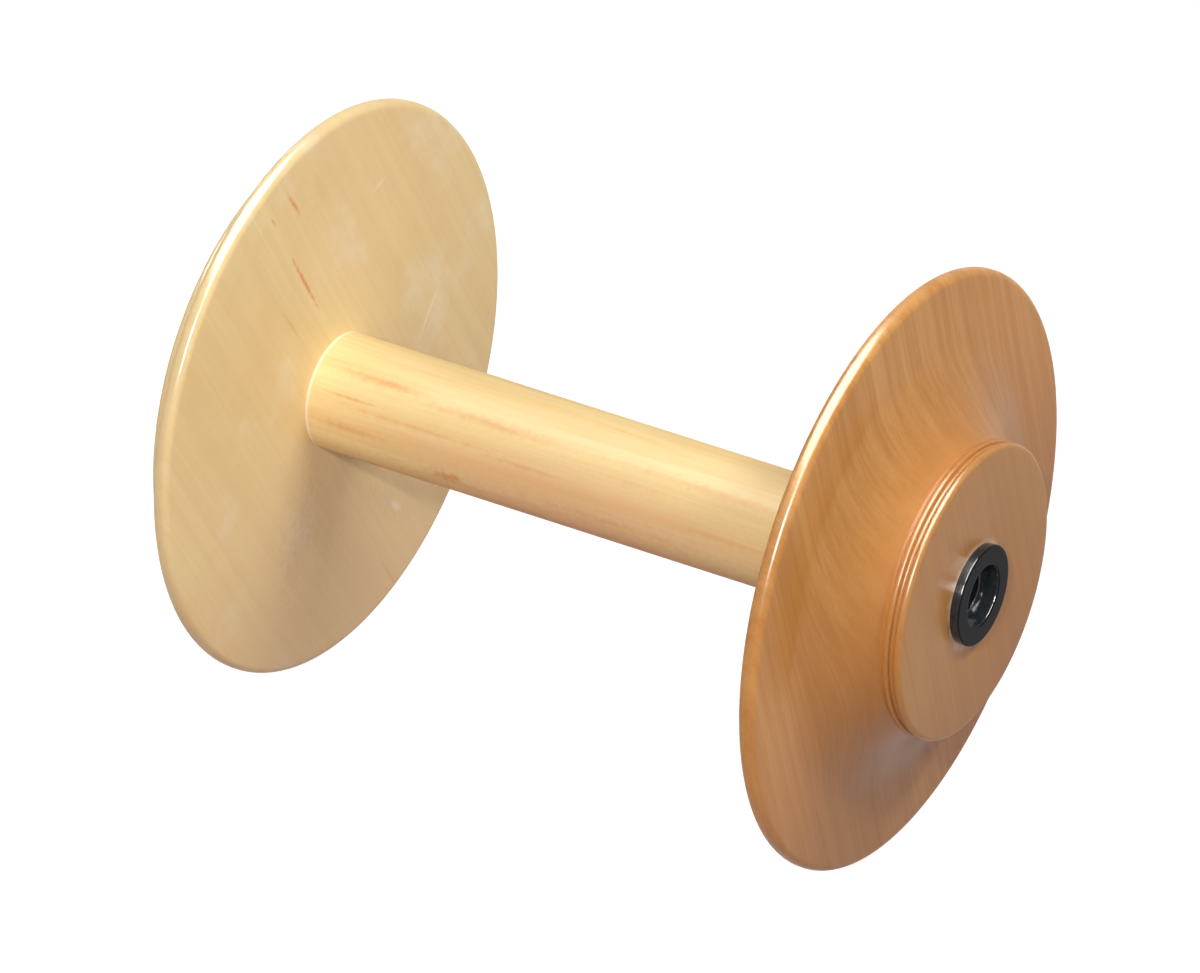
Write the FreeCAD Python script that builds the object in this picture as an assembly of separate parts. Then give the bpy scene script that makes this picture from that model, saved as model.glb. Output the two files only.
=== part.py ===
"""Jumbo bobbin for a spinning wheel: two turned maple flanges glued to a bored maple barrel,
with a black moulded bushing pressed into each end so that the bobbin runs on the flyer shaft.

Row frame, in millimetres: +Y runs along the spin axis from the brake end to the drive end,
+Z is up, and the origin is on the spin axis, midway between the two bushing faces.
The bobbin lies on the rims of its two flanges.

Every piece is turned, so each one is drawn as a half section of (radius, station) corners
and revolved. A station is a distance along the spin axis.
"""
import FreeCAD
import Part

import math
import os

# Winding space
winding_width = 136.2          # between the inner faces of the two flanges
barrel_diameter_drive = 25.9   # where the barrel enters the drive flange
barrel_diameter_brake = 24.9   # where the barrel enters the brake flange
bore_diameter = 16.0           # one drill size through the barrel and both hubs
socket_depth = 3.5             # how far each end of the barrel is let into its flange
socket_edge_break = 0.3        # rounded mouth of each socket

# Flange discs
flange_diameter = 127.0
rim_thickness = 3.7
rim_rounding = 1.6

# Brake end: a coved cone rises from the disc to a small whorl with a cord groove in its rim
brake_hub_height = 14.6        # from the outer face of the disc to the face of the whorl
brake_whorl_diameter = 62.6
brake_whorl_thickness = 4.1
brake_groove_width = 1.1
brake_groove_depth = 1.0
brake_groove_setback = 1.6     # from the face of the whorl to the groove
brake_neck_diameter = 60.4     # behind the whorl
brake_neck_length = 1.0
brake_cone_slope = 50.0        # degrees, between the cone and the disc
brake_cove_radius = 24.0

# Drive end: a groove for the drive band lies between the disc and a larger lip
drive_groove_width = 3.2
drive_groove_root_diameter = 99.0
drive_lip_diameter = 111.2
drive_lip_thickness = 2.4
groove_root_rounding = 1.1

lip_rounding = 1.0
whorl_back_rounding = 0.6
cord_groove_edge_rounding = 0.5
cord_groove_root_rounding = 0.4
hub_mouth_rounding = 0.5       # rounded mouth of the hub bore, under the bushing's head

# Bushings
bushing_head_diameter = 21.4
bushing_head_thickness = 1.9
bushing_spigot_length = 12.0
bushing_head_rounding = 0.35
shaft_diameter = 9.525         # flyer shaft, 3/8 inch
shaft_clearance = 0.05         # radial running clearance
mouth_diameter = 12.9          # counterbore that leads the shaft in
mouth_depth = 3.5
mouth_rounding = 0.4
bore_edge_break = 0.3

# Stations, counted from the inner face of a flange outwards
disc_face = rim_thickness
brake_face = disc_face + brake_hub_height
drive_face = disc_face + drive_groove_width + drive_lip_thickness

# Stations on the spin axis
overall_length = winding_width + brake_face + drive_face + 2 * bushing_head_thickness
brake_inner_face = -overall_length / 2 + bushing_head_thickness + brake_face
drive_inner_face = brake_inner_face + winding_width

BRAKE_END = -1
DRIVE_END = 1
SPIN_AXIS = FreeCAD.Vector(0, 1, 0)
ORIGIN = FreeCAD.Vector(0, 0, 0)


def rounded_outline(corners):
    """Closed wire through (radius, station, rounding) corners, with a tangent arc at each rounding."""
    points = [FreeCAD.Vector(radius, station, 0) for radius, station, _ in corners]
    edges = []
    spans = []
    for i, (_, _, rounding) in enumerate(corners):
        here = points[i]
        to_last = (points[i - 1] - here).normalize()
        to_next = (points[(i + 1) % len(points)] - here).normalize()
        if rounding == 0:
            spans.append((here, here))
            continue
        half_angle = to_last.getAngle(to_next) / 2
        setback = rounding / math.tan(half_angle)
        start = here + to_last * setback
        end = here + to_next * setback
        bisector = (to_last + to_next).normalize()
        middle = here + bisector * (rounding / math.sin(half_angle) - rounding)
        edges.append(Part.Arc(start, middle, end).toShape())
        spans.append((start, end))
    for i, (start, _) in enumerate(spans):
        last_end = spans[i - 1][1]
        if last_end.distanceToPoint(start) > 1e-6:
            edges.append(Part.LineSegment(last_end, start).toShape())
    return Part.Wire(Part.__sortEdges__(edges))


def turned(corners):
    """Solid of revolution about the spin axis."""
    section = Part.Face(rounded_outline(corners))
    solid = section.revolve(ORIGIN, SPIN_AXIS, 360)
    return Part.Solid(solid.Shells[0]) if solid.ShapeType != "Solid" else solid


def outwards(corners, end, inner_face):
    """Moves corners whose stations count outwards from a flange's inner face onto the spin axis."""
    return [(radius, inner_face + end * station, rounding) for radius, station, rounding in corners]


def barrel():
    """Bored barrel with a slight taper between the flanges and a straight seat in each socket."""
    brake_radius = barrel_diameter_brake / 2
    drive_radius = barrel_diameter_drive / 2
    bore_radius = bore_diameter / 2
    return turned([
        (bore_radius, brake_inner_face - socket_depth, 0),
        (brake_radius, brake_inner_face - socket_depth, 0),
        (brake_radius, brake_inner_face, 0),
        (drive_radius, drive_inner_face, 0),
        (drive_radius, drive_inner_face + socket_depth, 0),
        (bore_radius, drive_inner_face + socket_depth, 0),
    ])


def socket_corners(barrel_diameter):
    """Socket that holds the barrel, from the hub bore out to the flange's inner face."""
    socket_radius = barrel_diameter / 2
    return [
        (bore_diameter / 2, socket_depth, 0),
        (socket_radius, socket_depth, 0),
        (socket_radius, 0, socket_edge_break),
    ]


def disc_rim_corners():
    """Rounded rim of a flange disc, from its inner face to its outer face."""
    flange_radius = flange_diameter / 2
    return [
        (flange_radius, 0, rim_rounding),
        (flange_radius, disc_face, rim_rounding),
    ]


def brake_flange():
    """Disc, coved cone, short neck and grooved whorl turned from one blank."""
    neck_radius = brake_neck_diameter / 2
    whorl_radius = brake_whorl_diameter / 2
    root_radius = whorl_radius - brake_groove_depth
    groove_outer = brake_face - brake_groove_setback
    groove_inner = groove_outer - brake_groove_width
    whorl_back = brake_face - brake_whorl_thickness
    cone_top = whorl_back - brake_neck_length
    cone_run = (cone_top - disc_face) / math.tan(math.radians(brake_cone_slope))
    hub_corners = [
        (neck_radius + cone_run, disc_face, brake_cove_radius),
        (neck_radius, cone_top, 0),
        (neck_radius, whorl_back, 0),
        (whorl_radius, whorl_back, whorl_back_rounding),
        (whorl_radius, groove_inner, cord_groove_edge_rounding),
        (root_radius, groove_inner, cord_groove_root_rounding),
        (root_radius, groove_outer, cord_groove_root_rounding),
        (whorl_radius, groove_outer, cord_groove_edge_rounding),
        (whorl_radius, brake_face, lip_rounding),
        (bore_diameter / 2, brake_face, hub_mouth_rounding),
    ]
    corners = socket_corners(barrel_diameter_brake) + disc_rim_corners() + hub_corners
    return turned(outwards(corners, BRAKE_END, brake_inner_face))


def drive_flange():
    """Disc, drive groove and lip turned from one blank."""
    root_radius = drive_groove_root_diameter / 2
    lip_radius = drive_lip_diameter / 2
    lip_back = drive_face - drive_lip_thickness
    whorl_corners = [
        (root_radius, disc_face, groove_root_rounding),
        (root_radius, lip_back, groove_root_rounding),
        (lip_radius, lip_back, lip_rounding),
        (lip_radius, drive_face, lip_rounding),
        (bore_diameter / 2, drive_face, hub_mouth_rounding),
    ]
    corners = socket_corners(barrel_diameter_drive) + disc_rim_corners() + whorl_corners
    return turned(outwards(corners, DRIVE_END, drive_inner_face))


def bushing(end, inner_face, hub_face):
    """Headed bushing, pressed into the hub bore until its head seats on the hub face."""
    head_radius = bushing_head_diameter / 2
    spigot_radius = bore_diameter / 2
    running_radius = shaft_diameter / 2 + shaft_clearance
    mouth_radius = mouth_diameter / 2
    outer_face = hub_face + bushing_head_thickness
    inner_end = hub_face - bushing_spigot_length
    corners = [
        (running_radius, inner_end, bore_edge_break),
        (spigot_radius, inner_end, bore_edge_break),
        (spigot_radius, hub_face, 0),
        (head_radius, hub_face, 0),
        (head_radius, outer_face, bushing_head_rounding),
        (mouth_radius, outer_face, mouth_rounding),
        (mouth_radius, outer_face - mouth_depth, 0),
        (running_radius, outer_face - mouth_depth, bore_edge_break),
    ]
    return turned(outwards(corners, end, inner_face))


def main():
    pieces = {
        "barrel": barrel(),
        "brake_flange": brake_flange(),
        "drive_flange": drive_flange(),
        "brake_end_bushing": bushing(BRAKE_END, brake_inner_face, brake_face),
        "drive_end_bushing": bushing(DRIVE_END, drive_inner_face, drive_face),
    }
    os.makedirs("parts", exist_ok=True)
    for name, shape in pieces.items():
        if not shape.isValid() or shape.Volume <= 0:
            raise ValueError(f"{name} is not a valid solid")
        shape.exportStep(f"parts/{name}.step")
        box = shape.optimalBoundingBox(False)
        print(f"{name}: {shape.Volume / 1000:.1f} cm3, Y {box.YMin:.2f} to {box.YMax:.2f} mm")


main()
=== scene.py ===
import math

import bpy
from mathutils import Matrix, Vector


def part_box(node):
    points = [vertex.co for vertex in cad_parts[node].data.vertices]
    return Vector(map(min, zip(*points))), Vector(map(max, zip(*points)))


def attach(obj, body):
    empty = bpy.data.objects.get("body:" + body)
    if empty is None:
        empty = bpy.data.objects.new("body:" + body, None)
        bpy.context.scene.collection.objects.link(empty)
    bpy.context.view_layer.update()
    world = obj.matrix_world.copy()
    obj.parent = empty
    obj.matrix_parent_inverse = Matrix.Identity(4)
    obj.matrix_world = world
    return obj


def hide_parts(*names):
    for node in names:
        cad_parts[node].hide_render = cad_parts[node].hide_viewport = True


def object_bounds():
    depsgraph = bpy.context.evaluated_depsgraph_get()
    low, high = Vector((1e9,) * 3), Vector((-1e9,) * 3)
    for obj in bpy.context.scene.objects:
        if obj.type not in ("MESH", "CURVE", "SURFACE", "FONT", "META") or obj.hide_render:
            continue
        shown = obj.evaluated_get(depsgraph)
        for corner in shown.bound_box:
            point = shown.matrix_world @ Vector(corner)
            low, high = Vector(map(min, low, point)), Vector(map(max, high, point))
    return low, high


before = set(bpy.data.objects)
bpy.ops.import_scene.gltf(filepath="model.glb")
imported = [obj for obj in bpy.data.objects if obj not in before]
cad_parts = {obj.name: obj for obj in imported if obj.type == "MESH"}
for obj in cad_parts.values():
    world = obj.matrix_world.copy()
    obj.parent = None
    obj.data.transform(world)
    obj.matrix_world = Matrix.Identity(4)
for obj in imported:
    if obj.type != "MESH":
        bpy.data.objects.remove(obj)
cad_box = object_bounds()


# Barrel: a length of maple dowel, bored through for the flyer shaft and turned to a slight
# taper. Its ends are glued into a socket in each flange, and a thin line of glue shows at the
# drive end. Here too are the turning and the wood that both flanges share.

SIDES = 256                    # round a turned piece, so that gloss runs smoothly over it
DRILLED = 0.008                # radius of the hole through the barrel and both hubs
SOCKET = 0.0035                # how far the barrel is let into each flange
BARREL_AT_BRAKE = 0.01245
BARREL_AT_DRIVE = 0.01295
SAME_PLACE = 2e-5              # how near a vertex lies to the ring that it belongs to


def turn(name, rings, roundings):
    """Turns a bored piece: a ring is drawn out from (radius, y) to (radius, y) and closed on itself."""
    bpy.ops.object.select_all(action="DESELECT")
    radius, y = rings[0]
    bpy.ops.mesh.primitive_circle_add(vertices=SIDES, radius=radius, location=(0, y, 0),
                                      rotation=(math.pi / 2, 0, 0))
    piece = bpy.context.object
    piece.name = name
    bpy.ops.object.transform_apply(location=True, rotation=True, scale=True)
    bpy.ops.object.mode_set(mode="EDIT")
    bpy.ops.mesh.select_all(action="SELECT")
    for next_radius, next_y in rings[1:]:
        bpy.ops.mesh.extrude_region_move()
        bpy.ops.transform.translate(value=(0, next_y - y, 0))
        scale = next_radius / radius
        bpy.ops.transform.resize(value=(scale, 1, scale), center_override=(0, next_y, 0))
        radius, y = next_radius, next_y
    pick_rings(piece, [rings[0], rings[-1]])
    bpy.ops.mesh.bridge_edge_loops()
    for ring, size, steps in roundings:
        pick_rings(piece, [ring])
        bpy.ops.mesh.bevel(offset=size, segments=steps, affect="EDGES", profile=0.5)
    bpy.ops.mesh.select_all(action="SELECT")
    bpy.ops.mesh.remove_doubles(threshold=1e-6)
    bpy.ops.mesh.normals_make_consistent(inside=False)
    bpy.ops.object.mode_set(mode="OBJECT")
    bpy.ops.object.shade_smooth_by_angle(angle=math.radians(25))
    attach(piece, "root")
    return piece


def pick_rings(piece, rings):
    """Selects the edges that run round the piece at each (radius, y)."""
    bpy.ops.mesh.select_mode(type="EDGE")
    bpy.ops.mesh.select_all(action="DESELECT")
    bpy.ops.object.mode_set(mode="OBJECT")
    places = {}
    for vertex in piece.data.vertices:
        from_axis = math.hypot(vertex.co.x, vertex.co.z)
        for radius, y in rings:
            if abs(vertex.co.y - y) < SAME_PLACE and abs(from_axis - radius) < SAME_PLACE:
                places[vertex.index] = (radius, y)
    for edge in piece.data.edges:
        a, b = edge.vertices
        edge.select = a in places and places.get(a) == places.get(b)
    bpy.ops.object.mode_set(mode="EDIT")


def node(tree, kind, **inputs):
    """Adds a node and sets or links its inputs, which are given by name with _ for a space."""
    made = tree.nodes.new(kind)
    for name, value in inputs.items():
        socket = made.inputs[name.replace("_", " ")]
        if isinstance(value, bpy.types.NodeSocket):
            tree.links.new(value, socket)
        else:
            socket.default_value = value
    return made


def math_node(tree, operation, a, b=0.0, c=0.0):
    """Works out one sum on values or sockets and returns its result."""
    made = tree.nodes.new("ShaderNodeMath")
    made.operation = operation
    for socket, value in zip(made.inputs, (a, b, c)):
        if isinstance(value, bpy.types.NodeSocket):
            tree.links.new(value, socket)
        else:
            socket.default_value = value
    return made.outputs[0]


def remap(tree, value, low, high, to_low=0.0, to_high=1.0):
    """Smoothly carries a value from low..high onto to_low..to_high."""
    made = node(tree, "ShaderNodeMapRange", Value=value, From_Min=low, From_Max=high,
                To_Min=to_low, To_Max=to_high)
    made.interpolation_type = "SMOOTHSTEP"
    return made.outputs["Result"]


def mix_colour(tree, factor, a, b):
    """Lays colour b over colour a by the factor and returns the result."""
    made = tree.nodes.new("ShaderNodeMix")
    made.data_type = "RGBA"
    for socket, value in ((made.inputs[0], factor), (made.inputs[6], a), (made.inputs[7], b)):
        if isinstance(value, bpy.types.NodeSocket):
            tree.links.new(value, socket)
        else:
            socket.default_value = value
    return made.outputs[2]


def maple_grain():
    """Node group for maple: fibres run along X of the vector, and the growth rings cross Z."""
    group = bpy.data.node_groups.new("maple_grain", "ShaderNodeTree")
    sockets = group.interface
    sockets.new_socket("Vector", in_out="INPUT", socket_type="NodeSocketVector")
    for name in ("Tone", "Blush", "Pores", "Height"):
        sockets.new_socket(name, in_out="OUTPUT", socket_type="NodeSocketFloat")
    start = group.nodes.new("NodeGroupInput").outputs["Vector"]
    end = group.nodes.new("NodeGroupOutput")

    def noise(scale, detail, roughness, vector=start):
        place = node(group, "ShaderNodeMapping", Vector=vector, Scale=scale).outputs[0]
        return node(group, "ShaderNodeTexNoise", Vector=place, Scale=1.0, Detail=detail,
                    Roughness=roughness)

    wander = noise((11, 45, 45), 2.0, 0.5).outputs[1]
    swayed = add_scaled(group, start, wander, 0.0035)
    cloud = noise((13, 40, 40), 3.0, 0.5).outputs[0]
    rings = noise((5, 90, 260), 4.0, 0.6, swayed).outputs[0]
    lines = noise((14, 300, 900), 3.0, 0.6, swayed).outputs[0]
    fibres = noise((70, 2400, 3000), 3.0, 0.6).outputs[0]
    flecks = noise((170, 2200, 2600), 1.0, 0.4, swayed).outputs[0]
    blush = noise((7, 26, 26), 2.0, 0.5, swayed).outputs[0]
    tone = math_node(group, "MULTIPLY", rings, 0.42)
    tone = math_node(group, "MULTIPLY_ADD", lines, 0.26, tone)
    tone = math_node(group, "MULTIPLY_ADD", cloud, 0.18, tone)
    tone = math_node(group, "MULTIPLY_ADD", fibres, 0.14, tone)
    pores = remap(group, flecks, 0.62, 0.74)
    height = math_node(group, "SUBTRACT", fibres, pores)
    for name, value in (("Tone", remap(group, tone, 0.37, 0.63)), ("Blush", remap(group, blush, 0.35, 0.7)),
                        ("Pores", pores), ("Height", height)):
        group.links.new(value, end.inputs[name])
    return group


def add_scaled(tree, a, b, scale):
    """Adds b times scale to the vector a."""
    made = tree.nodes.new("ShaderNodeVectorMath")
    made.operation = "MULTIPLY_ADD"
    tree.links.new(b, made.inputs[0])
    made.inputs[1].default_value = (scale, scale, scale)
    tree.links.new(a, made.inputs[2])
    return made.outputs[0]


maple = maple_grain()


def lacquered_wood(name, pale, dark, blush, fibre_turn, gloss):
    """A lacquered maple; fibre_turn is the turn that lays X along the fibres. Returns its parts."""
    material = bpy.data.materials.new(name)
    material.use_nodes = True
    tree = material.node_tree
    shader = tree.nodes["Principled BSDF"]
    place = tree.nodes.new("ShaderNodeTexCoord").outputs["Object"]
    along = tree.nodes.new("ShaderNodeMapping")
    along.vector_type = "TEXTURE"
    along.inputs["Rotation"].default_value = fibre_turn
    tree.links.new(place, along.inputs["Vector"])
    grain = tree.nodes.new("ShaderNodeGroup")
    grain.node_tree = maple
    tree.links.new(along.outputs[0], grain.inputs["Vector"])
    colour = mix_colour(tree, grain.outputs["Tone"], pale, dark)
    colour = mix_colour(tree, math_node(tree, "MULTIPLY", grain.outputs["Blush"], 0.35), colour, blush)
    colour = mix_colour(tree, math_node(tree, "MULTIPLY", grain.outputs["Pores"], 0.30), colour, dark)
    shader.inputs["Roughness"].default_value = 0.5
    shader.inputs["Specular IOR Level"].default_value = 0.02
    shader.inputs["Coat Weight"].default_value = gloss
    shader.inputs["Coat Roughness"].default_value = 0.19
    bump = node(tree, "ShaderNodeBump", Strength=0.05, Distance=0.0002,
                Height=grain.outputs["Height"])
    tree.links.new(bump.outputs[0], shader.inputs["Normal"])
    tree.links.new(colour, shader.inputs["Base Color"])
    return material, tree, shader, place, colour


def gum_streak():
    """Node group for a gum streak: a frayed sliver in the wood; a low Core gives it soft edges."""
    group = bpy.data.node_groups.new("gum_streak", "ShaderNodeTree")
    sockets = group.interface
    for name in ("Vector", "Centre", "Turn", "Half Size"):
        sockets.new_socket(name, in_out="INPUT", socket_type="NodeSocketVector")
    sockets.new_socket("Core", in_out="INPUT", socket_type="NodeSocketFloat")
    sockets.new_socket("Mask", in_out="OUTPUT", socket_type="NodeSocketFloat")
    given = group.nodes.new("NodeGroupInput").outputs
    end = group.nodes.new("NodeGroupOutput")
    sliver = node(group, "ShaderNodeMapping", Vector=given["Vector"], Location=given["Centre"],
                  Rotation=given["Turn"], Scale=given["Half Size"])
    sliver.vector_type = "TEXTURE"
    frayed = node(group, "ShaderNodeTexNoise", Vector=given["Vector"], Scale=700.0, Detail=2.0).outputs[0]
    reach = group.nodes.new("ShaderNodeVectorMath")
    reach.operation = "LENGTH"
    group.links.new(sliver.outputs[0], reach.inputs[0])
    edge = math_node(group, "ADD", reach.outputs["Value"], frayed)
    group.links.new(remap(group, edge, given["Core"], 1.6, 1.0, 0.0), end.inputs["Mask"])
    return group


gum = gum_streak()


def add_streak(tree, place, colour, start, end, half_width, half_depth, core, weight, stain):
    """Lays a streak over a wood colour, from start to end in metres, and returns the new colour."""
    start, end = Vector(start), Vector(end)
    run = end - start
    sliver = tree.nodes.new("ShaderNodeGroup")
    sliver.node_tree = gum
    tree.links.new(place, sliver.inputs["Vector"])
    sliver.inputs["Centre"].default_value = (start + end) / 2
    sliver.inputs["Turn"].default_value = run.to_track_quat("X", "Z").to_euler()
    sliver.inputs["Half Size"].default_value = (run.length / 2, half_depth, half_width)
    sliver.inputs["Core"].default_value = core
    return mix_colour(tree, math_node(tree, "MULTIPLY", sliver.outputs["Mask"], weight), colour, stain)


low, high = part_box("barrel")
inner_at_brake = low.y + SOCKET
inner_at_drive = high.y - SOCKET
barrel = turn("turned_barrel", [
    (DRILLED, low.y), (BARREL_AT_BRAKE, low.y), (BARREL_AT_BRAKE, inner_at_brake),
    (BARREL_AT_DRIVE, inner_at_drive), (BARREL_AT_DRIVE, high.y), (DRILLED, high.y)], [])
material, tree, shader, place, colour = lacquered_wood(
    "barrel_maple", (0.84, 0.69, 0.36, 1), (0.76, 0.55, 0.25, 1), (0.79, 0.50, 0.25, 1),
    (0, 0, math.pi / 2), 0.04)
# The amber-brown of the two broad bands is painted shade on the barrel's lower side, partly mixed with a
# real blush in the wood.
SHADE_AND_BLUSH = (0.83, 0.43, 0.26, 1)
RUST = (0.66, 0.28, 0.10, 1)
DRIED_GLUE = (0.90, 0.82, 0.66, 1)
LONG_STREAKS = (  # degrees round from straight up, start y, end y, half width, core, weight, stain
    (-88, 0.0760, -0.0640, 0.00850, 0.5, 0.38, SHADE_AND_BLUSH), (-130, 0.0760, -0.0640, 0.00900, 0.4, 0.60, SHADE_AND_BLUSH),
    (-62, 0.0700, 0.0540, 0.00050, 0.5, 0.55, RUST), (-38, 0.0690, 0.0420, 0.00160, 0.3, 0.55, RUST),
    (-44, 0.0500, 0.0060, 0.00160, 0.3, 0.46, RUST), (-112, 0.0440, 0.0310, 0.00220, 0.4, 0.75, RUST),
    (-74, 0.0300, 0.0060, 0.00070, 0.5, 0.40, RUST), (-42, 0.0080, -0.0580, 0.00170, 0.3, 0.44, RUST),
    (-70, 0.0700, 0.0200, 0.00060, 0.5, 0.35, RUST), (-92, 0.0740, 0.0500, 0.00110, 0.4, 0.50, RUST),
    (-58, 0.0100, -0.0300, 0.00060, 0.5, 0.30, RUST), (-104, 0.0200, -0.0200, 0.00110, 0.4, 0.32, RUST),
    (-84, -0.0100, -0.0480, 0.00090, 0.4, 0.32, RUST), (-8, 0.0100, -0.0100, 0.00050, 0.4, 0.22, RUST),
    (70, 0.0500, 0.0100, 0.00090, 0.4, 0.32, RUST), (130, 0.0200, -0.0300, 0.00110, 0.4, 0.32, RUST))
for angle, start_y, end_y, width, core, weight, stain in LONG_STREAKS:
    side = math.sin(math.radians(angle)) * BARREL_AT_DRIVE
    up = math.cos(math.radians(angle)) * BARREL_AT_DRIVE
    colour = add_streak(tree, place, colour, (side, start_y, up), (side, end_y, up), width, width, core,
                        weight, stain)
along_y = node(tree, "ShaderNodeSeparateXYZ", Vector=place).outputs["Y"]
glue = remap(tree, along_y, inner_at_drive - 0.0009, inner_at_drive - 0.0004)
colour = mix_colour(tree, math_node(tree, "MULTIPLY", glue, 0.6), colour, DRIED_GLUE)
tree.links.new(colour, shader.inputs["Base Color"])
barrel.data.materials.clear()
barrel.data.materials.append(material)
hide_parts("barrel")


# Brake flange: one maple blank, turned as a thin disc with a rounded rim and a coved cone
# that rises to a small whorl, with a groove for the brake cord in the whorl's rim. The
# blank's fibres run across the disc. Painted shade deepens the cove and a ring outside it,
# and darkens the disc towards its bottom and right.

RIM_THICKNESS = 0.0037
RIM_ROUNDING = 0.0016
RIM_BAND = 0.0024              # a plain ring left beside the rim's rounding, which keeps it even
EDGE_BAND = 0.0018             # the same beside the rounding of a whorl or lip
COVE_BAND = 0.0008             # and outside the cove
WHORL = 0.0313
WHORL_THICKNESS = 0.0041
CORD_GROOVE_WIDTH = 0.0011
CORD_GROOVE_DEPTH = 0.0010
CORD_GROOVE_SETBACK = 0.0016
NECK = 0.0302
NECK_LENGTH = 0.001
CONE_SLOPE = math.radians(50)
COVE = 0.024
FACE_TINT = (0.37, 0.18, 0.055, 1)
COVE_SHADE = (0.55, 0.24, 0.06, 1)
RING_SHADE = (0.20, 0.08, 0.02, 1)
LOW_RIGHT_SHADE = (0.25, 0.10, 0.04, 1)
POOLED_LACQUER = (0.66, 0.50, 0.38, 1)
FLECK = (0.30, 0.11, 0.03, 1)

low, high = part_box("brake_flange")
rim = high.z
disc_face = high.y - RIM_THICKNESS
whorl_back = low.y + WHORL_THICKNESS
groove_outer = low.y + CORD_GROOVE_SETBACK
groove_inner = groove_outer + CORD_GROOVE_WIDTH
groove_root = WHORL - CORD_GROOVE_DEPTH
cone_top = whorl_back + NECK_LENGTH
cone_foot = NECK + (disc_face - cone_top) / math.tan(CONE_SLOPE)
cove_reach = COVE * math.tan(CONE_SLOPE / 2)
brake_flange = turn("turned_brake_flange", [
    (DRILLED, low.y), (DRILLED, high.y - SOCKET), (BARREL_AT_BRAKE, high.y - SOCKET),
    (BARREL_AT_BRAKE, high.y), (rim - RIM_BAND, high.y), (rim, high.y), (rim, disc_face),
    (rim - RIM_BAND, disc_face), (cone_foot + cove_reach + COVE_BAND, disc_face),
    (cone_foot, disc_face), (NECK, cone_top), (NECK, whorl_back), (WHORL, whorl_back),
    (WHORL, groove_inner), (groove_root, groove_inner), (groove_root, groove_outer),
    (WHORL, groove_outer), (WHORL, low.y), (WHORL - EDGE_BAND, low.y)],
    [((rim, high.y), RIM_ROUNDING, 10), ((rim, disc_face), RIM_ROUNDING, 10),
     ((cone_foot, disc_face), cove_reach, 28), ((WHORL, whorl_back), 0.0006, 5),
     ((WHORL, groove_inner), 0.0005, 5), ((groove_root, groove_inner), 0.0004, 4),
     ((groove_root, groove_outer), 0.0004, 4), ((WHORL, groove_outer), 0.0005, 5),
     ((WHORL, low.y), 0.001, 7), ((DRILLED, low.y), 0.0005, 4)])
material, tree, shader, place, colour = lacquered_wood(
    "brake_flange_maple", (0.60, 0.31, 0.090, 1), (0.46, 0.20, 0.045, 1), (0.52, 0.22, 0.06, 1),
    (0, math.radians(69), 0), 0.5)
shader.inputs["Coat Roughness"].default_value = 0.27
axial = node(tree, "ShaderNodeSeparateXYZ", Vector=place)
on_face = remap(tree, axial.outputs["Y"], low.y + 0.0006, low.y)
colour = mix_colour(tree, math_node(tree, "MULTIPLY", on_face, 0.6), colour, FACE_TINT)
from_axis = math_node(tree, "SQRT", math_node(tree, "ADD",
                      math_node(tree, "POWER", axial.outputs["X"], 2.0),
                      math_node(tree, "POWER", axial.outputs["Z"], 2.0)))
smear = node(tree, "ShaderNodeTexNoise", Vector=place, Scale=260.0, Detail=2.0).outputs[0]
reach = math_node(tree, "MULTIPLY_ADD", smear, -0.004, from_axis)
pooled = math_node(tree, "MULTIPLY", remap(tree, reach, 0.0084, 0.0104, 1.0, 0.0), on_face)
# The cove is painted a deeper orange: painted shade and warm bounce light in the hollow.
in_cove = remap(tree, axial.outputs["Y"], disc_face, cone_top)
in_cove = math_node(tree, "MULTIPLY", in_cove, math_node(tree, "SUBTRACT", 1.0, on_face))
colour = mix_colour(tree, math_node(tree, "MULTIPLY", in_cove, 0.6), colour, COVE_SHADE)
# A ring 40 to 52 mm from the axis, outside the cove, is painted darker: painted shade.
ring_shade = math_node(tree, "MULTIPLY", remap(tree, from_axis, 0.052, 0.040, 0.0, 0.28),
                      math_node(tree, "SUBTRACT", 1.0, on_face))
colour = mix_colour(tree, ring_shade, colour, RING_SHADE)
# The disc is painted darker towards its bottom and right: painted shade.
low_right_shade = math_node(tree, "MULTIPLY_ADD", axial.outputs["X"], -0.5, axial.outputs["Z"])
low_right_shade = remap(tree, low_right_shade, -0.066, 0.020, 0.56, 0.0)
colour = mix_colour(tree, low_right_shade, colour, LOW_RIGHT_SHADE)
colour = mix_colour(tree, math_node(tree, "MULTIPLY", pooled, 0.6), colour, POOLED_LACQUER)
for start, end, width, weight in (((-0.0030, 0.0410), (-0.0005, 0.0345), 0.00040, 0.55),
                                  ((-0.0420, 0.0090), (-0.0385, 0.0010), 0.00045, 0.50),
                                  ((-0.0375, -0.0110), (-0.0345, -0.0190), 0.00045, 0.60),
                                  ((0.0130, 0.0520), (0.0160, 0.0440), 0.00030, 0.35)):
    colour = add_streak(tree, place, colour, (start[0], disc_face, start[1]),
                        (end[0], disc_face, end[1]), width, 0.002, 0.6, weight, FLECK)
tree.links.new(colour, shader.inputs["Base Color"])
brake_flange.data.materials.clear()
brake_flange.data.materials.append(material)
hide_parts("brake_flange")


# Drive flange: a paler maple blank, turned as a thin disc with a groove for the drive band
# between the disc and a slightly smaller lip. Gum streaks run with the fibres on its inner
# face, which also has hazy, warm and smeared patches, painted shade towards the bottom, and
# painted shadow below the barrel, partly mixed with a pink flush.

GROOVE_ROOT = 0.0495
DRIVE_LIP = 0.0556
DRIVE_LIP_THICKNESS = 0.0024
HAZE = (0.88, 0.80, 0.60, 1)
WARM = (0.74, 0.50, 0.20, 1)
SHADE_LOW = (0.60, 0.38, 0.26, 1)
GUM = (0.74, 0.29, 0.09, 1)
SHADOW_AND_FLUSH = (0.52, 0.31, 0.22, 1)
SMEAR = (0.95, 0.90, 0.78, 1)

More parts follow.
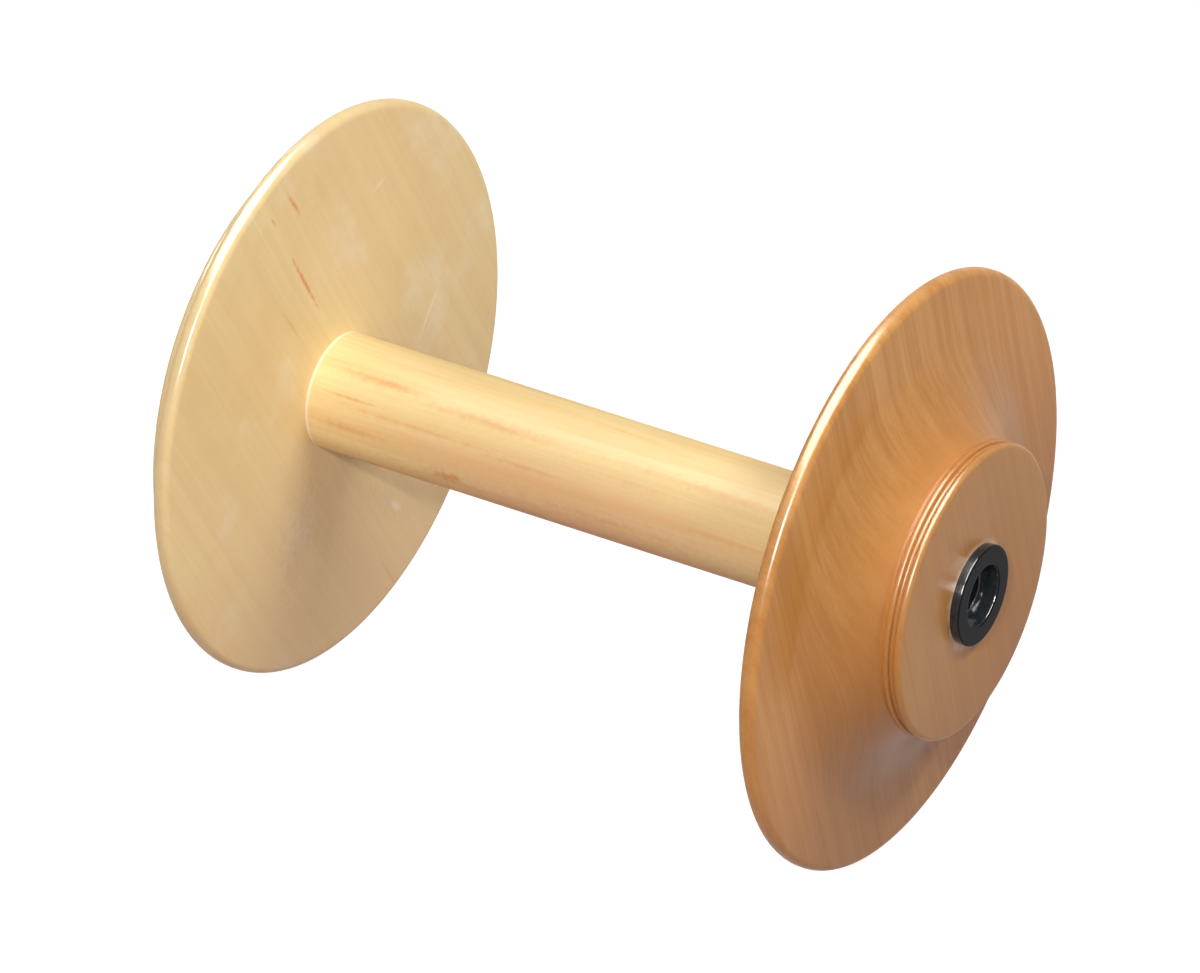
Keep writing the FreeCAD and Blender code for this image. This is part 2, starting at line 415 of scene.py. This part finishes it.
low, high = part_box("drive_flange")
rim = high.z
groove_front = low.y + RIM_THICKNESS
groove_back = high.y - DRIVE_LIP_THICKNESS
drive_flange = turn("turned_drive_flange", [
    (DRILLED, high.y), (DRILLED, low.y + SOCKET), (BARREL_AT_DRIVE, low.y + SOCKET),
    (BARREL_AT_DRIVE, low.y), (rim - RIM_BAND, low.y), (rim, low.y), (rim, groove_front),
    (rim - RIM_BAND, groove_front), (GROOVE_ROOT, groove_front), (GROOVE_ROOT, groove_back),
    (DRIVE_LIP, groove_back), (DRIVE_LIP, high.y), (DRIVE_LIP - EDGE_BAND, high.y)],
    [((rim, low.y), RIM_ROUNDING, 10), ((rim, groove_front), RIM_ROUNDING, 10),
     ((GROOVE_ROOT, groove_front), 0.0011, 6), ((GROOVE_ROOT, groove_back), 0.0011, 6),
     ((DRIVE_LIP, groove_back), 0.001, 7), ((DRIVE_LIP, high.y), 0.001, 7),
     ((DRILLED, high.y), 0.0005, 4)])
material, tree, shader, place, colour = lacquered_wood(
    "drive_flange_maple", (0.85, 0.685, 0.36, 1), (0.79, 0.62, 0.31, 1), (0.76, 0.54, 0.28, 1),
    (0, math.radians(57), 0), 0.42)
haze = node(tree, "ShaderNodeTexNoise", Vector=place, Scale=42.0, Detail=4.0, Roughness=0.6).outputs[0]
haze = remap(tree, haze, 0.54, 0.72)
colour = mix_colour(tree, math_node(tree, "MULTIPLY", haze, 0.45), colour, HAZE)
warm = node(tree, "ShaderNodeTexNoise", Vector=place, Scale=28.0, Detail=5.0, Roughness=0.65).outputs[0]
warm = remap(tree, warm, 0.48, 0.70, 0.0, 0.32)
colour = mix_colour(tree, warm, colour, WARM)
# The face is painted darker and pinker towards the bottom: painted shade.
height = node(tree, "ShaderNodeSeparateXYZ", Vector=place).outputs["Z"]
shade_low = remap(tree, height, -0.060, -0.010, 0.35, 0.0)
colour = mix_colour(tree, shade_low, colour, SHADE_LOW)
for start, end, width, core, weight, stain in (
        ((-0.0198, 0.0546), (-0.0140, 0.0465), 0.0006, 0.6, 0.85, GUM),
        ((-0.0191, 0.0409), (-0.0070, 0.0212), 0.0006, 0.6, 0.85, GUM),
        ((-0.0256, 0.0511), (-0.0235, 0.0484), 0.0005, 0.6, 0.60, GUM),
        ((-0.0230, 0.0300), (-0.0130, 0.0160), 0.0006, 0.6, 0.25, GUM),
        ((0.0150, -0.0470), (0.0244, -0.0620), 0.0007, 0.5, 0.35, GUM),
        # The first patch below is painted shadow under the barrel, mixed with a pink flush in the wood. The
        # second is a painted shadow of the barrel.
        ((-0.0060, -0.0100), (-0.0220, -0.0460), 0.0090, 0.0, 0.42, SHADOW_AND_FLUSH),
        ((0.0060, -0.0250), (0.0360, -0.0480), 0.0060, 0.0, 0.32, SHADOW_AND_FLUSH),
        ((0.0195, -0.0355), (0.0250, -0.0410), 0.0016, 0.2, 0.45, SMEAR),
        ((0.0300, -0.0020), (0.0390, 0.0100), 0.0007, 0.3, 0.50, SMEAR),
        ((0.0120, 0.0420), (0.0180, 0.0440), 0.0010, 0.2, 0.40, SMEAR)):
    colour = add_streak(tree, place, colour, (start[0], low.y, start[1]), (end[0], low.y, end[1]),
                        width, 0.002, core, weight, stain)
tree.links.new(colour, shader.inputs["Base Color"])
drive_flange.data.materials.clear()
drive_flange.data.materials.append(material)
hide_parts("drive_flange")


# Bushings: two black moulded plastic sleeves with a flat head, pressed into the hub bores.
# A counterbore leads the flyer shaft in, down to a narrow ledge and the running bore.

RUNNING = 0.0048125
MOUTH = 0.00645
MOUTH_DEPTH = 0.0035
HEAD_THICKNESS = 0.0019
HEAD_BAND = 0.0007             # a plain ring left beside each rounding of the head


def bushing(cad_name, name, outward):
    """One headed sleeve; outward is the way that its head faces along Y."""
    low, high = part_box(cad_name)
    face, tail = (high.y, low.y) if outward > 0 else (low.y, high.y)
    seat = face - outward * HEAD_THICKNESS
    ledge = face - outward * MOUTH_DEPTH
    head = high.z
    piece = turn(name, [
        (RUNNING, tail), (DRILLED, tail), (DRILLED, seat), (head, seat), (head, face),
        (head - HEAD_BAND, face), (MOUTH + HEAD_BAND, face), (MOUTH, face), (MOUTH, ledge),
        (RUNNING, ledge)],
        [((RUNNING, tail), 0.0003, 3), ((DRILLED, tail), 0.0003, 3), ((head, face), 0.00035, 5),
         ((MOUTH, face), 0.0004, 5), ((RUNNING, ledge), 0.0003, 4)])
    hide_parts(cad_name)
    return piece


black = bpy.data.materials.new("black_plastic")
black.use_nodes = True
tree = black.node_tree
shader = tree.nodes["Principled BSDF"]
place = tree.nodes.new("ShaderNodeTexCoord").outputs["Object"]
mottle = node(tree, "ShaderNodeTexNoise", Vector=place, Scale=900.0, Detail=3.0).outputs[0]
colour = mix_colour(tree, mottle, (0.004, 0.004, 0.006, 1), (0.010, 0.010, 0.013, 1))
along_y = node(tree, "ShaderNodeSeparateXYZ", Vector=place).outputs["Y"]
end_face = cad_box[1][1]
wall = remap(tree, math_node(tree, "ABSOLUTE", along_y), end_face - 0.00035, end_face - 0.0001, 1.0, 0.0)
# The walls of the head and counterbore are painted a lighter, mottled blue-grey: a painted sheen.
wall_sheen = math_node(tree, "MULTIPLY", wall, remap(tree, mottle, 0.35, 0.70, 0.55, 1.0))
tree.links.new(wall, shader.inputs["Coat Weight"])
shader.inputs["Coat Roughness"].default_value = 0.12
tree.links.new(mix_colour(tree, wall_sheen, colour, (0.018, 0.025, 0.030, 1)), shader.inputs["Base Color"])
tree.links.new(remap(tree, mottle, 0.3, 0.7, 0.16, 0.26), shader.inputs["Roughness"])
shader.inputs["Specular IOR Level"].default_value = 0.03
for cad_name, name, outward in (("brake_end_bushing", "moulded_brake_bushing", -1),
                                ("drive_end_bushing", "moulded_drive_bushing", 1)):
    piece = bushing(cad_name, name, outward)
    piece.data.materials.clear()
    piece.data.materials.append(black)


# Studio: a plain pale floor, a soft strip overhead, a small lamp and soft fills at the side and
# back, two panels that only glint in the lacquer, and an even white surround.

floor_z = cad_box[0][2]
bpy.ops.object.select_all(action="DESELECT")
bpy.ops.mesh.primitive_plane_add(size=12, location=(0, 0, floor_z))
floor = bpy.context.object
floor.name = "floor"
floor_paint = bpy.data.materials.new("floor_paint")
floor_paint.use_nodes = True
tree = floor_paint.node_tree
shader = tree.nodes["Principled BSDF"]
shader.inputs["Roughness"].default_value = 0.9
shader.inputs["Specular IOR Level"].default_value = 0.0
shader.inputs["Emission Color"].default_value = (1, 1, 1, 1)


def seen(tree):
    """1 for what the camera sees directly, in a reflection or through something, and 0 otherwise."""
    path = tree.nodes.new("ShaderNodeLightPath")
    either = math_node(tree, "MAXIMUM", path.outputs["Is Camera Ray"], path.outputs["Is Glossy Ray"])
    return math_node(tree, "MAXIMUM", either, path.outputs["Is Transmission Ray"])


mirrored = tree.nodes.new("ShaderNodeLightPath").outputs["Is Glossy Ray"]
tree.links.new(mix_colour(tree, mirrored, (0.30, 0.22, 0.22, 1), (0, 0, 0, 1)), shader.inputs["Base Color"])
tree.links.new(math_node(tree, "MULTIPLY", seen(tree), 0.9), shader.inputs["Emission Strength"])
floor.data.materials.append(floor_paint)


def soft_light(name, place, width, depth, power, colour, lights=True, glints=True):
    """A flat lamp that faces the bobbin; it can be kept to plain light or to glints in the lacquer."""
    lamp = bpy.data.lights.new(name, "AREA")
    lamp.shape = "RECTANGLE"
    lamp.size, lamp.size_y = width, depth
    lamp.energy = power
    lamp.color = colour
    holder = bpy.data.objects.new(name, lamp)
    bpy.context.collection.objects.link(holder)
    holder.location = place
    holder.rotation_euler = (-Vector(place)).to_track_quat("-Z", "Y").to_euler()
    holder.visible_diffuse = lights
    holder.visible_glossy = glints


soft_light("overhead_strip", (0.12, -0.42, 0.58), 0.52, 0.045, 2.6, (1.0, 0.97, 0.89), glints=False)
soft_light("side_spot", (-0.96, -0.38, 0.74), 0.05, 0.05, 7.5, (1.0, 0.96, 0.92), glints=False)
soft_light("side_fill", (-0.80, -0.46, 0.40), 0.56, 0.56, 1.4, (1.0, 0.90, 0.84), glints=False)
soft_light("back_fill", (0.45, 0.85, 0.60), 0.60, 0.60, 3.0, (1.0, 0.96, 0.92), glints=False)
soft_light("overhead_glint", (-0.15, 0.05, 0.95), 1.30, 1.00, 150, (1.0, 0.98, 0.94), lights=False)
soft_light("side_glint", (-1.0, -0.30, 0.62), 0.26, 0.40, 45, (1.0, 0.98, 0.97), lights=False)

world = bpy.data.worlds.new("surround")
bpy.context.scene.world = world
world.use_nodes = True
tree = world.node_tree
tree.nodes["Background"].inputs["Color"].default_value = (1.0, 0.97, 0.98, 1)
tree.links.new(remap(tree, seen(tree), 0.0, 1.0, 0.38, 1.0),
               tree.nodes["Background"].inputs["Strength"])

camera_data = bpy.data.cameras.new("camera")
camera_data.sensor_width = 36
camera_data.lens = 167.5
camera = bpy.data.objects.new("camera", camera_data)
bpy.context.collection.objects.link(camera)
VIEW_TURN = math.radians(-58.94)
VIEW_RISE = math.radians(28.71)
VIEW_ROLL = math.radians(1.67)
CAMERA_PLACE = (-0.87523, -0.52019, 0.55651)
camera.matrix_world = (Matrix.Translation(CAMERA_PLACE)
                       @ Matrix.Rotation(VIEW_TURN, 4, "Z")
                       @ Matrix.Rotation(math.pi / 2 - VIEW_RISE, 4, "X")
                       @ Matrix.Rotation(VIEW_ROLL, 4, "Z"))
scene = bpy.context.scene
scene.camera = camera
scene.view_settings.view_transform = "Standard"
